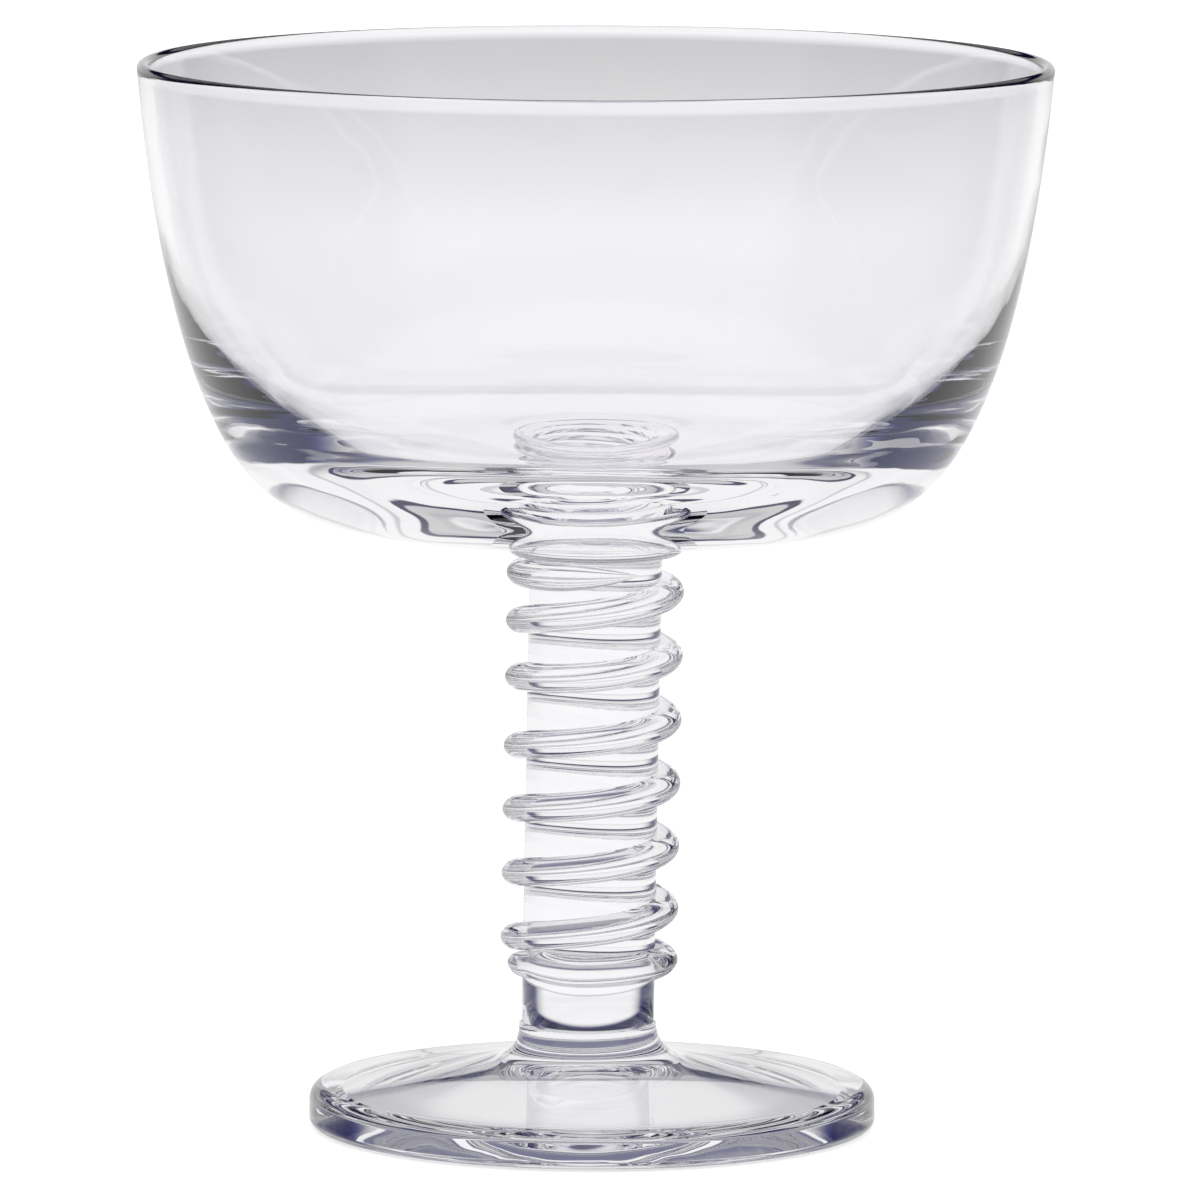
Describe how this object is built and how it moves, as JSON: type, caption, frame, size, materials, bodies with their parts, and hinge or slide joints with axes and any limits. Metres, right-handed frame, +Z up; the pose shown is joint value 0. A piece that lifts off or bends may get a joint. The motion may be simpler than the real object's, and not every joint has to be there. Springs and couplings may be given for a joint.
{
  "type": "champagne glass",
  "caption": "Clear glass champagne coupe: wide heavy-based bowl on a collar, round stem with a glass trail wound up it, and a thick disc foot to stand on.",
  "frame": {"origin": "centre of the foot's underside, on the table", "axes": "+Z up along the stem's axis; the trail starts at the front left, seen from -Y, and climbs anticlockwise seen from above"},
  "size_m": [0.1, 0.1, 0.117],
  "materials": {
    "bowl_glass": "clear, fire-polished",
    "collar_glass": "clear, fire-polished",
    "stem_glass": "clear, fire-polished",
    "trail_glass": "clear, drawn, with fine lines along it",
    "foot_glass": "clear, fire-polished"
  },
  "bodies": {
    "root": {"bowl": "bowl_glass", "collar": "collar_glass", "stem": "stem_glass", "spiral_trail": "trail_glass", "foot": "foot_glass"}
  },
  "joints": []
}
